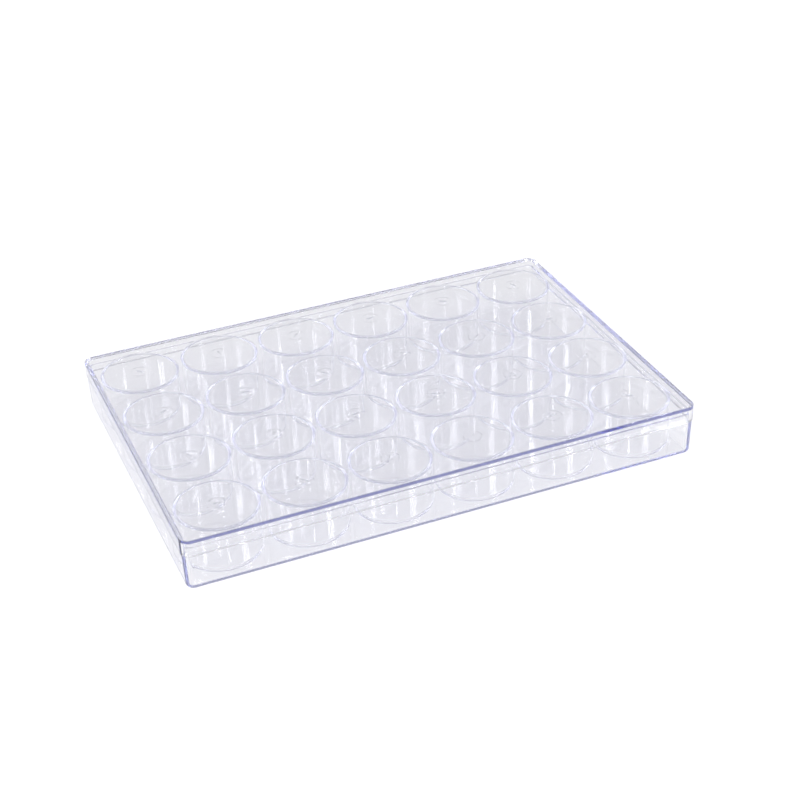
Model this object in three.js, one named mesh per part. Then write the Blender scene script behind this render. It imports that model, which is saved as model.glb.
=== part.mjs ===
// A flat, clear storage box for sewing-machine bobbins: a shallow tray, a lift-off lid whose skirt
// overlaps the tray's walls, and a grid of small round jars inside, each closed by its own push-in lid.
//
// Millimetres, +Z up, +X along the box's long side, +Y to the back.
// Origin: centre of the box, on the surface that it stands on.

import * as THREE from 'three';

// ---------- driving dimensions ----------

const boxLength = 241.3; // over the lid, the widest piece
const boxWidth = 165.1;
const boxHeight = 25.4; // tray underside to lid top
const gap = 0.3; // air between pieces that rest on each other

const lidPlate = 2;
const lidWall = 1.6;
const lidCornerRadius = 4.5; // in plan
const lidSkirtHeight = 8; // lid top to the skirt's lower edge
const lidEdge = 0.5; // bevel along the lid's top edge

const trayFloor = 1.2;
const trayInset = 0.3; // how far the lid stands proud of the tray at the ledge
const trayDraft = 0.6; // how far each tray wall leans in from the ledge to the floor
const trayEdge = 2; // bevel along the tray's bottom edge
const trayCollarWall = 0.9; // the thin part of the wall that goes up inside the skirt
const trayCollarHeight = 4; // ledge to rim
const skirtClearance = 0.3; // between the skirt and the collar

const jarColumns = 6;
const jarRows = 4;
const columnPitch = 39.4;
const rowPitch = 40;
const jarRimRadius = 18.3;
const jarDraft = 0.2; // the jar is this much narrower at its floor
const jarWall = 0.9;
const jarFloor = 1.2;
const jarEdge = 3; // bevel along the jar's bottom edge
const jarInnerEdge = 2.1; // bevel round the jar's floor inside

const jarLidRadius = 18.6;
const jarLidFlange = 0.8; // thickness of the part that rests on the jar's rim
const bossDepth = 0.5; // how far the lid's thicker middle reaches into the jar
const bossClearance = 0.2;

const cornerDivisions = 4; // each plan corner is drawn with twice as many straight steps
const roundSteps = 20; // sides of a jar

// ---------- levels that follow from them ----------

const lidUnderside = boxHeight - lidPlate;
const skirtEnd = boxHeight - lidSkirtHeight;
const trayLedge = skirtEnd - gap;
const trayRim = trayLedge + trayCollarHeight;
const jarSeat = trayFloor + gap; // underside of each jar
const jarLidTop = lidUnderside - gap;
const flangeUnderside = jarLidTop - jarLidFlange - jarSeat; // measured up from the jar's underside
const jarHeight = flangeUnderside - gap;

// ---------- materials: clear moulded styrene, each piece with its own ----------

const finishes = {
  tray: { color: 0xe3e5f1, roughness: 0.12 },
  lid: { color: 0xdcdff0, roughness: 0.08 },
  jar: { color: 0xe4e5ee, roughness: 0.14 },
  jarLid: { color: 0xd8daea, roughness: 0.12 },
};

function clearStyrene({ color, roughness }) {
  return new THREE.MeshStandardMaterial({
    color,
    roughness,
    metalness: 0,
    transparent: true,
    opacity: 0.35,
  });
}

// ---------- shapes ----------

// One level of the tray or the lid: the lid's outline, a rounded rectangle, pulled in by an inset.
function boxLevel(inset, z) {
  const cornerRadius = lidCornerRadius - inset;
  const x = boxLength / 2 - lidCornerRadius;
  const y = boxWidth / 2 - lidCornerRadius;
  const outline = new THREE.Shape();
  outline.absarc(x, y, cornerRadius, 0, Math.PI / 2);
  outline.absarc(-x, y, cornerRadius, Math.PI / 2, Math.PI);
  outline.absarc(-x, -y, cornerRadius, Math.PI, Math.PI * 1.5);
  outline.absarc(x, -y, cornerRadius, Math.PI * 1.5, Math.PI * 2);
  return outline.getPoints(cornerDivisions).map((point) => new THREE.Vector3(point.x, point.y, z));
}

// A closed skin through a list of levels. The first and last levels are filled with a fan, so the
// list runs from the middle of one face, round the section, to the middle of the opposite face.
function skinThroughLevels(levels) {
  const ring = levels[0].length;
  const positions = levels.flat().flatMap((point) => point.toArray());
  const triangles = [];
  for (let level = 0; level < levels.length - 1; level += 1) {
    for (let step = 0; step < ring; step += 1) {
      const next = (step + 1) % ring;
      const here = level * ring;
      const beyond = here + ring;
      triangles.push(here + step, here + next, beyond + next);
      triangles.push(here + step, beyond + next, beyond + step);
    }
  }
  const firstCentre = levels.length * ring;
  const lastCentre = firstCentre + 1;
  const lastRing = (levels.length - 1) * ring;
  positions.push(0, 0, levels[0][0].z, 0, 0, levels[levels.length - 1][0].z);
  for (let step = 0; step < ring; step += 1) {
    const next = (step + 1) % ring;
    triangles.push(firstCentre, next, step);
    triangles.push(lastCentre, lastRing + step, lastRing + next);
  }
  const geometry = new THREE.BufferGeometry();
  geometry.setAttribute('position', new THREE.Float32BufferAttribute(positions, 3));
  geometry.setIndex(triangles);
  geometry.computeVertexNormals();
  return geometry;
}

// A turned piece standing on Z, from (radius, height) pairs that start and end on the axis.
function turned(profile) {
  const points = profile.map(([radius, height]) => new THREE.Vector2(radius, height));
  const geometry = new THREE.LatheGeometry(points, roundSteps);
  geometry.rotateX(Math.PI / 2);
  return geometry;
}

// The tray: a floor and four leaning walls that step in at a ledge, where the lid's skirt lands, and
// go on up as a thin collar inside the skirt.
function trayGeometry() {
  const floorInset = trayInset + trayDraft;
  const collarInset = lidWall + skirtClearance;
  const insideInset = collarInset + trayCollarWall;
  return skinThroughLevels([
    boxLevel(floorInset + trayEdge, 0),
    boxLevel(floorInset, trayEdge),
    boxLevel(trayInset, trayLedge),
    boxLevel(collarInset, trayLedge),
    boxLevel(collarInset, trayRim),
    boxLevel(insideInset, trayRim),
    boxLevel(insideInset + trayDraft / 2, trayFloor),
  ]);
}

// The lid: a flat plate with a short skirt turned down all round.
function lidGeometry() {
  return skinThroughLevels([
    boxLevel(lidWall, lidUnderside),
    boxLevel(lidWall, skirtEnd),
    boxLevel(0, skirtEnd),
    boxLevel(0, boxHeight - lidEdge),
    boxLevel(lidEdge, boxHeight),
  ]);
}

// A jar: a straight-sided cup, measured up from its own underside.
function jarGeometry() {
  const floorRadius = jarRimRadius - jarDraft;
  return turned([
    [0, 0],
    [floorRadius - jarEdge, 0],
    [floorRadius, jarEdge],
    [jarRimRadius, jarHeight],
    [jarRimRadius - jarWall, jarHeight],
    [floorRadius - jarWall, jarFloor + jarInnerEdge],
    [floorRadius - jarWall - jarInnerEdge, jarFloor],
    [0, jarFloor],
  ]);
}

// A jar's lid: a stepped disc, whose thicker middle drops into the jar's mouth.
function jarLidGeometry() {
  const bossRadius = jarRimRadius - jarWall - bossClearance;
  return turned([
    [0, -bossDepth],
    [bossRadius, -bossDepth],
    [bossRadius, 0],
    [jarLidRadius, 0],
    [jarLidRadius, jarLidFlange],
    [0, jarLidFlange],
  ]);
}

// ---------- assembly ----------

function piece(name, geometry, finish) {
  const mesh = new THREE.Mesh(geometry, clearStyrene(finish));
  mesh.name = name;
  return mesh;
}

// A jar with its lid, standing at its place in the grid. Row 1 is the front row, column 1 the left.
function closedJar(row, column) {
  const place = `r${row}_c${column}`;
  const jarLid = piece(`jar_lid_${place}`, jarLidGeometry(), finishes.jarLid);
  jarLid.position.z = flangeUnderside;
  const closed = new THREE.Group();
  closed.position.set(
    (column - (jarColumns + 1) / 2) * columnPitch,
    (row - (jarRows + 1) / 2) * rowPitch,
    jarSeat,
  );
  closed.add(piece(`jar_${place}`, jarGeometry(), finishes.jar), jarLid);
  return closed;
}

const bobbinBox = new THREE.Group();
bobbinBox.add(piece('box_base', trayGeometry(), finishes.tray));
bobbinBox.add(piece('box_lid', lidGeometry(), finishes.lid));
for (let row = 1; row <= jarRows; row += 1) {
  for (let column = 1; column <= jarColumns; column += 1) {
    bobbinBox.add(closedJar(row, column));
  }
}

export default bobbinBox;
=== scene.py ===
"""A clear bobbin box: a tray, a lift-off lid and a grid of small round jars with push-in lids.

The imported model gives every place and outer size. Each of its faceted solids is replaced here by a
finely rounded moulding of the same size, in clear polystyrene.
"""

import math

import bmesh
import bpy
from mathutils import Matrix, Vector


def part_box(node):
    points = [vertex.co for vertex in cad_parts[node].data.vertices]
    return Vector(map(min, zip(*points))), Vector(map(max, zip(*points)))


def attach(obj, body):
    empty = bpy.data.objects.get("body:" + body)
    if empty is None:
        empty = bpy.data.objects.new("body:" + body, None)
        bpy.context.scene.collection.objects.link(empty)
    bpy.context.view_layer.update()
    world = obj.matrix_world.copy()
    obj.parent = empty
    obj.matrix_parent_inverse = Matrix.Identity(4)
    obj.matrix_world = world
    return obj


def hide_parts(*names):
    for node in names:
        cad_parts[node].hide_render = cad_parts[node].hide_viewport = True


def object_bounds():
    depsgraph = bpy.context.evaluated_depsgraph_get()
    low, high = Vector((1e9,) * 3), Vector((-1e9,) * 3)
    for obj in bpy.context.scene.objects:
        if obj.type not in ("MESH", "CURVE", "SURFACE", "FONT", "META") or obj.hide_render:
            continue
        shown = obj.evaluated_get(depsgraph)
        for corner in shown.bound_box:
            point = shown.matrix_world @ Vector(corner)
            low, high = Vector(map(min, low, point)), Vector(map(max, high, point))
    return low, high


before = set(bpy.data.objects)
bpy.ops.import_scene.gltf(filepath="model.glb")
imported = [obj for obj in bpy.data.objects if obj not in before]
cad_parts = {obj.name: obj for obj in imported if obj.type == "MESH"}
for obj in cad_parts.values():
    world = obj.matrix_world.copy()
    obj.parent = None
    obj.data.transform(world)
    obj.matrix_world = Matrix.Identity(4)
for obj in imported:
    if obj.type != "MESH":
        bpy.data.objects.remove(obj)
cad_low, cad_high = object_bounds()

# Sections are worked out in millimetres. Everything in the scene itself is in metres.
MM = 0.001

# ---------------------------------------------------------------- fineness of the meshes

ARC_STEPS = 5  # straight steps in each rounded edge of a moulding's section
CORNER_STEPS = 14  # straight steps in each corner of the box, seen from above
TURN_STEPS = 96  # straight steps round a jar

# ---------------------------------------------------------------- sizes of the mouldings, in mm

LID_WALL = 1.6
LID_PLATE = 2.0
LID_CORNER = 4.5  # radius of the box's corners, seen from above

TRAY_INSET = 0.3  # how far the lid stands proud of the tray at the ledge
TRAY_DRAFT = 0.6  # how far each tray wall leans in from the ledge to the floor
TRAY_FLOOR = 1.2
TRAY_EDGE = 2.2  # rounding along the tray's bottom edge
TRAY_INNER_EDGE = 1.0
COLLAR_WALL = 0.9
SKIRT_CLEARANCE = 0.3  # between the lid's skirt and the tray's collar
LEDGE_GAP = 0.05  # between the lid's skirt and the tray's ledge, which it all but rests on

JAR_WALL = 0.9
JAR_FLOOR = 1.2
JAR_DRAFT = 0.2  # how much narrower a jar is at its floor
JAR_EDGE = 3.2  # rounding round a jar's foot
JAR_INNER_EDGE = 2.4
BOSS_DEPTH = 0.5  # how far a jar lid's thicker middle reaches into the jar
BOSS_CLEARANCE = 0.2

GATE_RADIUS = 4.2  # of the round mark in the middle of each jar lid
GATE_DEPTH = 0.09
GATE_WIDTH = 0.6  # from the mark's bottom to its edge
SCAR_LENGTH = 4.2  # of the dent inside that mark, where the lid was cut from its runner
SCAR_WIDTH = 1.3
SCAR_DEPTH = 0.3
SCAR_RINGS = 10  # rings of points inside the mark, which the dent moves

RIM_EDGE = 0.15  # rounding of a rim, and round a jar lid's boss
STEP_EDGE = 0.1  # rounding inside a step, where the mould is sharpest
SKIRT_EDGE = 0.12  # rounding along the skirt's lower edge and the ledge below it
LID_EDGE = 0.2
LID_INNER_EDGE = 0.25
FLANGE_EDGE = 0.39  # nearly half of a jar lid's thickness, so that its rim is round
GATE_EDGE = 0.3
STRIP = 9.0  # width of the flat strip along each wall, beyond which a face is filled by one polygon
HUB = 2.0  # radius of the polygon that fills the middle of a jar's floor or a jar lid's underside
GOLDEN_TURN = math.radians(137.5)  # from one jar to the next, so that no two stand alike

# ---------------------------------------------------------------- plastic, heights in metres

WHITE = (1, 1, 1, 1)
TINT = (0.15, 0.19, 0.65, 1)  # what a great depth of the plastic leaves of white light
RIPPLE = 0.00002  # slow waves that the mould leaves in every face
FINE_SCRATCH = 0.0000002
LID_SCRATCH = 0.0000005  # the lid is handled most

# ---------------------------------------------------------------- studio, in metres and degrees

CAMERA_AZIMUTH = -21.76
CAMERA_ELEVATION = 31.65
CAMERA_ROLL = -2.21
CAMERA_DISTANCE = 0.7974
CAMERA_AIM = Vector((0.0099, -0.0002, 0))  # from the box's middle to where the camera looks

SOFTBOX_DISTANCE = 12.0
SOFTBOX_ELEVATION = 32
SOFTBOX_HEIGHT = 2.9
FLOOR_REACH = 1.6
FLOOR_GAP = 0.0002  # between the tray's underside and the floor
OVEREXPOSURE = 0.16  # light that the camera sees the floor give off
MIRRORED_SKY = 0.66
WHITE_BACKDROP = 1.1
LONG_PATH = 128  # bounces

# ---------------------------------------------------------------- sections


def arc_points(before, corner, after, radius):
    """The points of the arc that rounds a corner between two straight stretches."""
    back = before - corner
    ahead = after - corner
    half = back.angle(ahead) / 2
    longest = 0.49 * min(back.length, ahead.length)  # so that neighbouring arcs never meet
    reach = min(radius / math.tan(half), longest)
    radius = reach * math.tan(half)
    start = corner + back.normalized() * reach
    middle = corner + (back.normalized() + ahead.normalized()).normalized() * radius / math.sin(half)
    spoke = start - middle
    turn = math.copysign(math.pi - 2 * half, back.x * ahead.y - back.y * ahead.x)
    points = []
    for step in range(ARC_STEPS + 1):
        angle = -turn * step / ARC_STEPS
        points.append(middle + Matrix.Rotation(angle, 2) @ spoke)
    return points


def rounded_section(corners):
    """A section through (across, up, rounding) corners, as points. The two end corners stay sharp."""
    places = [Vector((across, up)) for across, up, _ in corners]
    points = [places[0]]
    for index in range(1, len(corners) - 1):
        rounding = corners[index][2]
        if rounding > 0:
            points += arc_points(places[index - 1], places[index], places[index + 1], rounding)
        else:
            points.append(places[index])
    points.append(places[-1])
    return points


def skin(name, rings):
    """A closed moulding: a mesh through a list of rings, its first and last rings filled."""
    mesh = bmesh.new()
    rows = [[mesh.verts.new(point * MM) for point in ring] for ring in rings]
    count = len(rows[0])
    for below, above in zip(rows, rows[1:]):
        for step in range(count):
            after = (step + 1) % count
            mesh.faces.new((below[step], below[after], above[after], above[step]))
    mesh.faces.new(list(reversed(rows[0])))
    mesh.faces.new(rows[-1])
    for face in mesh.faces:
        face.smooth = True
    bmesh.ops.recalc_face_normals(mesh, faces=mesh.faces)
    data = bpy.data.meshes.new(name)
    mesh.to_mesh(data)
    mesh.free()
    return data


def box_ring(half_length, half_width, inset, up):
    """The lid's outline pulled in by an inset: a rounded rectangle, seen from above."""
    smallest = 0.4  # radius of the corners that a deep inset would otherwise turn inside out
    radius = max(LID_CORNER - inset, smallest)
    x = half_length - inset - radius
    y = half_width - inset - radius
    ring = []
    for quarter, (side_x, side_y) in enumerate(((1, 1), (-1, 1), (-1, -1), (1, -1))):
        for step in range(CORNER_STEPS + 1):
            angle = (quarter + step / CORNER_STEPS) * math.pi / 2
            across = side_x * x + radius * math.cos(angle)
            along = side_y * y + radius * math.sin(angle)
            ring.append(Vector((across, along, up)))
    return ring


def turned_ring(radius, up):
    """A level circle about the Z axis."""
    ring = []
    for step in range(TURN_STEPS):
        angle = math.tau * step / TURN_STEPS
        ring.append(Vector((radius * math.cos(angle), radius * math.sin(angle), up)))
    return ring


def tray_mesh():
    """The tray's section, from a strip of its underside round to a strip of its floor."""
    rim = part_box("box_base")[1].z / MM
    lid_low, lid_high = (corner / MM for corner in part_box("box_lid"))
    ledge = lid_low.z - LEDGE_GAP
    foot = TRAY_INSET + TRAY_DRAFT
    collar = LID_WALL + SKIRT_CLEARANCE
    inside = collar + COLLAR_WALL
    section = rounded_section(
        [
            (foot + STRIP, 0, 0),
            (foot, 0, TRAY_EDGE),
            (TRAY_INSET, ledge, SKIRT_EDGE),
            (collar, ledge, STEP_EDGE),
            (collar, rim, RIM_EDGE),
            (inside, rim, RIM_EDGE),
            (inside + TRAY_DRAFT / 2, TRAY_FLOOR, TRAY_INNER_EDGE),
            (inside + STRIP, TRAY_FLOOR, 0),
        ]
    )
    rings = [box_ring(lid_high.x, lid_high.y, point.x, point.y) for point in section]
    return skin("box_base_moulding", rings)


def lid_mesh():
    """The lid's section, from a strip of its underside round to a strip of its top."""
    low, high = (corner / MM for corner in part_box("box_lid"))
    under = high.z - LID_PLATE
    section = rounded_section(
        [
            (LID_WALL + STRIP, under, 0),
            (LID_WALL, under, LID_INNER_EDGE),
            (LID_WALL, low.z, SKIRT_EDGE),
            (0, low.z, SKIRT_EDGE),
            (0, high.z, LID_EDGE),
            (STRIP, high.z, 0),
        ]
    )
    rings = [box_ring(high.x, high.y, point.x, point.y) for point in section]
    return skin("box_lid_moulding", rings)


def jar_mesh(radius, height):
    """A jar's section, measured up from its underside: a plain cup with a softly rounded foot."""
    foot = radius - JAR_DRAFT
    section = rounded_section(
        [
            (HUB, 0, 0),
            (foot, 0, JAR_EDGE),
            (radius, height, RIM_EDGE),
            (radius - JAR_WALL, height, RIM_EDGE),
            (foot - JAR_WALL, JAR_FLOOR, JAR_INNER_EDGE),
            (HUB, JAR_FLOOR, 0),
        ]
    )
    return skin("jar_moulding", [turned_ring(point.x, point.y) for point in section])


def scar_depth(point):
    """How far the runner's scar lowers a point of a jar lid's top, in millimetres."""
    along = point.x / (SCAR_LENGTH / 2)
    across = point.y / (SCAR_WIDTH / 2)
    return SCAR_DEPTH * math.exp(-(along**4) - across**2)


def jar_lid_mesh(radius, height, mouth):
    """A jar lid's section, measured up from its boss, with a gate mark and a scar in its top."""
    boss = mouth - BOSS_CLEARANCE
    section = rounded_section(
        [
            (HUB, 0, 0),
            (boss, 0, RIM_EDGE),
            (boss, BOSS_DEPTH, STEP_EDGE),
            (radius, BOSS_DEPTH, FLANGE_EDGE),
            (radius, height, FLANGE_EDGE),
            (GATE_RADIUS + GATE_WIDTH, height, GATE_EDGE),
            (GATE_RADIUS, height - GATE_DEPTH, GATE_EDGE),
            (GATE_RADIUS - GATE_WIDTH, height, GATE_EDGE),
            (GATE_RADIUS - 2 * GATE_WIDTH, height, 0),
        ]
    )
    rings = [turned_ring(point.x, point.y) for point in section]
    scarred = GATE_RADIUS - 2.5 * GATE_WIDTH
    for step in range(SCAR_RINGS, 0, -1):
        rings.append(turned_ring(scarred * step / SCAR_RINGS, height))
    for ring in rings[-SCAR_RINGS:]:
        for point in ring:
            point.z -= scar_depth(point)
    return skin("jar_lid_moulding", rings)


# ---------------------------------------------------------------- materials


class Nodes:
    """A node tree with short ways to add a node, set its values and link it."""

    def __init__(self, tree):
        self.tree = tree

    def add(self, kind, values=None):
        node = self.tree.nodes.new(kind)
        for name, value in (values or {}).items():
            node.inputs[name].default_value = value
        return node

    def link(self, source, target):
        self.tree.links.new(source, target)


def seen_by_camera(nodes, otherwise, directly):
    """One value for rays straight from the camera, and another for rays by way of the plastic."""
    path = nodes.add("ShaderNodeLightPath")
    value = nodes.add("ShaderNodeMapRange", {"To Min": otherwise, "To Max": directly})
    nodes.link(path.outputs["Is Camera Ray"], value.inputs["Value"])
    return value.outputs["Result"]


def smudged_roughness(nodes, place, roughness):
    """Roughness that varies in soft patches, from handling."""
    smudge = nodes.add("ShaderNodeTexNoise", {"Scale": 38, "Detail": 4})
    nodes.link(place, smudge.inputs["Vector"])
    shine = nodes.add(
        "ShaderNodeMapRange",
        {"From Min": 0.35, "From Max": 0.75, "To Min": roughness * 0.6, "To Max": roughness * 1.6},
    )
    nodes.link(smudge.outputs["Fac"], shine.inputs["Value"])
    return shine.outputs["Result"]


def rippled_skin(nodes, place, scratch):
    """A surface with slow moulding waves, crossed by fine marks of handling that are scratch deep."""
    waves = nodes.add("ShaderNodeTexNoise", {"Scale": 90, "Detail": 1})
    nodes.link(place, waves.inputs["Vector"])
    rippled = nodes.add("ShaderNodeBump", {"Distance": RIPPLE})
    nodes.link(waves.outputs["Fac"], rippled.inputs["Height"])

    stretch = nodes.add("ShaderNodeMapping", {"Rotation": (0.3, 0.2, 0.7), "Scale": (60, 2600, 900)})
    nodes.link(place, stretch.inputs["Vector"])
    marks = nodes.add("ShaderNodeTexNoise", {"Scale": 1, "Detail": 2})
    nodes.link(stretch.outputs["Vector"], marks.inputs["Vector"])
    lines = nodes.add("ShaderNodeMapRange", {"From Min": 0.62, "From Max": 0.72})
    nodes.link(marks.outputs["Fac"], lines.inputs["Value"])
    scratched = nodes.add("ShaderNodeBump", {"Distance": scratch})
    scratched.invert = True
    nodes.link(lines.outputs["Result"], scratched.inputs["Height"])
    nodes.link(rippled.outputs["Normal"], scratched.inputs["Normal"])
    return scratched.outputs["Normal"]


def clear_styrene(name, density, roughness, scratch):
    """Clear moulded polystyrene. It bends light, and takes a violet tint from the depth of plastic.

    density is how strongly a metre of it absorbs light.
    """
    material = bpy.data.materials.new(name)
    material.use_nodes = True
    material.node_tree.nodes.clear()
    nodes = Nodes(material.node_tree)
    output = nodes.add("ShaderNodeOutputMaterial")
    place = nodes.add("ShaderNodeTexCoord").outputs["Object"]

    plastic = nodes.add(
        "ShaderNodeBsdfPrincipled",
        {"Base Color": WHITE, "Transmission Weight": 1, "IOR": 1.59},
    )
    nodes.link(smudged_roughness(nodes, place, roughness), plastic.inputs["Roughness"])
    nodes.link(rippled_skin(nodes, place, scratch), plastic.inputs["Normal"])

    # Lamps and the light between matt surfaces pass straight through, so that the floor below is lit.
    through = nodes.add("ShaderNodeBsdfTransparent", {"Color": (0.987, 0.987, 0.992, 1)})
    path = nodes.add("ShaderNodeLightPath")
    either = nodes.add("ShaderNodeMath")
    either.operation = "MAXIMUM"
    nodes.link(path.outputs["Is Shadow Ray"], either.inputs[0])
    nodes.link(path.outputs["Is Diffuse Ray"], either.inputs[1])
    choice = nodes.add("ShaderNodeMixShader")
    nodes.link(either.outputs["Value"], choice.inputs["Fac"])
    nodes.link(plastic.outputs["BSDF"], choice.inputs[1])
    nodes.link(through.outputs["BSDF"], choice.inputs[2])
    nodes.link(choice.outputs["Shader"], output.inputs["Surface"])

    depth = nodes.add("ShaderNodeVolumeAbsorption", {"Color": TINT, "Density": density})
    nodes.link(depth.outputs["Volume"], output.inputs["Volume"])
    return material


def floor_paper():
    """Matt pale paper. The camera itself sees it overexposed to white; the plastic shows it dimmer."""
    material = bpy.data.materials.new("studio_paper")
    material.use_nodes = True
    nodes = Nodes(material.node_tree)
    paper = material.node_tree.nodes["Principled BSDF"]
    paper.inputs["Base Color"].default_value = (0.63, 0.63, 0.635, 1)
    paper.inputs["Roughness"].default_value = 0.9
    paper.inputs["Specular IOR Level"].default_value = 0.1
    paper.inputs["Emission Color"].default_value = WHITE
    nodes.link(seen_by_camera(nodes, 0, OVEREXPOSURE), paper.inputs["Emission Strength"])
    return material


# ---------------------------------------------------------------- pieces


def add_piece(node, data, material):
    """Puts a moulding in its CAD node's stead, riding on the node's body."""
    piece = bpy.data.objects.new(f"{node}_clear", data)
    bpy.context.scene.collection.objects.link(piece)
    data.materials.append(material)
    weighting = piece.modifiers.new("flat_faces_stay_flat", "WEIGHTED_NORMAL")
    weighting.keep_sharp = True
    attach(piece, node)
    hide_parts(node)


def add_box():
    """The tray and the lid, whose meshes are already in their places."""
    tray_plastic = clear_styrene("clear_styrene_tray", 4, 0.03, FINE_SCRATCH)
    lid_plastic = clear_styrene("clear_styrene_lid", 8, 0.025, LID_SCRATCH)
    add_piece("box_base", tray_mesh(), tray_plastic)
    add_piece("box_lid", lid_mesh(), lid_plastic)


def add_jars():
    """Every jar and jar lid, each turned differently about its own axis as it was put down."""
    jars = sorted(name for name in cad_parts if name.startswith("jar_r"))
    low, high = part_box(jars[0])
    radius = (high.x - low.x) / 2 / MM
    jar_shape = jar_mesh(radius, (high.z - low.z) / MM)
    low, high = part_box(jars[0].replace("jar_", "jar_lid_"))
    lid_shape = jar_lid_mesh((high.x - low.x) / 2 / MM, (high.z - low.z) / MM, radius - JAR_WALL)
    jar_plastic = clear_styrene("clear_styrene_jar", 4, 0.03, FINE_SCRATCH)
    lid_plastic = clear_styrene("clear_styrene_jar_lid", 4, 0.03, FINE_SCRATCH)
    for index, jar in enumerate(jars):
        for node, shape, material, slot in (
            (jar, jar_shape, jar_plastic, "jar_styrene"),
            (jar.replace("jar_", "jar_lid_"), lid_shape, lid_plastic, "jar_lid_styrene"),
        ):
            low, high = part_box(node)
            foot = Vector(((low.x + high.x) / 2, (low.y + high.y) / 2, low.z))
            data = shape.copy()
            data.name = node
            data.transform(Matrix.Translation(foot) @ Matrix.Rotation(index * GOLDEN_TURN, 4, "Z"))
            add_piece(node, data, material)


# ---------------------------------------------------------------- studio


def direction(azimuth, elevation):
    """The way to a place round the box, in degrees: azimuth 0 is in front of it, 90 to its right."""
    turn = math.radians(azimuth)
    rise = math.radians(elevation)
    return Vector((math.sin(turn) * math.cos(rise), -math.cos(turn) * math.cos(rise), math.sin(rise)))


def add_floor():
    """A square of paper just under the box."""
    corners = [(x * FLOOR_REACH, y * FLOOR_REACH, 0) for x, y in ((-1, -1), (1, -1), (1, 1), (-1, 1))]
    data = bpy.data.meshes.new("studio_floor")
    data.from_pydata(corners, [], [(0, 1, 2, 3)])
    data.materials.append(floor_paper())
    floor = bpy.data.objects.new("studio_floor", data)
    floor.location.z = -FLOOR_GAP
    bpy.context.scene.collection.objects.link(floor)


def add_softbox(name, azimuth, width, radiance):
    """An upright rectangular lamp facing the box. Its mirror image is a bright streak in every jar."""
    lamp = bpy.data.lights.new(name, "AREA")
    lamp.shape = "RECTANGLE"
    lamp.size = width
    lamp.size_y = SOFTBOX_HEIGHT
    lamp.energy = radiance * math.pi * width * SOFTBOX_HEIGHT
    away = direction(azimuth, SOFTBOX_ELEVATION)
    softbox = bpy.data.objects.new(name, lamp)
    softbox.location = away * SOFTBOX_DISTANCE
    softbox.rotation_euler = away.to_track_quat("Z", "Y").to_euler()
    bpy.context.scene.collection.objects.link(softbox)


def add_sky():
    """An even sky. The camera itself sees it as a white backdrop; the plastic mirrors it dimmer."""
    world = bpy.data.worlds.new("studio_sky")
    world.use_nodes = True
    nodes = Nodes(world.node_tree)
    sky = world.node_tree.nodes["Background"]
    sky.inputs["Color"].default_value = (0.965, 0.965, 1, 1)
    nodes.link(seen_by_camera(nodes, MIRRORED_SKY, WHITE_BACKDROP), sky.inputs["Strength"])
    bpy.context.scene.world = world


def add_camera():
    """The camera, in front of the box and a little to its left, looking down on it."""
    camera_data = bpy.data.cameras.new("camera")
    camera_data.lens = 76.2
    camera_data.sensor_width = 36
    camera_data.clip_start = 0.01
    camera_data.clip_end = 50
    away = direction(CAMERA_AZIMUTH, CAMERA_ELEVATION)
    upright = away.to_track_quat("Z", "Y").to_matrix()
    roll = Matrix.Rotation(math.radians(CAMERA_ROLL), 3, "Z")
    camera = bpy.data.objects.new("camera", camera_data)
    camera.location = (cad_low + cad_high) / 2 + CAMERA_AIM + away * CAMERA_DISTANCE
    camera.rotation_euler = (upright @ roll).to_euler()
    bpy.context.scene.collection.objects.link(camera)
    bpy.context.scene.camera = camera


def set_rendering():
    """Light passes through many clear walls in a row, so paths may be long."""
    scene = bpy.context.scene
    scene.view_settings.view_transform = "Standard"
    scene.cycles.max_bounces = LONG_PATH
    scene.cycles.transmission_bounces = LONG_PATH
    scene.cycles.glossy_bounces = LONG_PATH
    scene.cycles.diffuse_bounces = 2
    scene.cycles.transparent_max_bounces = 40
    scene.cycles.caustics_reflective = False
    scene.cycles.caustics_refractive = False
    scene.cycles.use_denoising = True


add_box()
add_jars()

add_floor()
add_sky()
add_softbox("softbox_left", azimuth=-83, width=3.7, radiance=38)
add_softbox("softbox_near", azimuth=-30.8, width=1.1, radiance=14)
add_softbox("softbox_right", azimuth=38.5, width=2.1, radiance=52)
add_camera()
set_rendering()
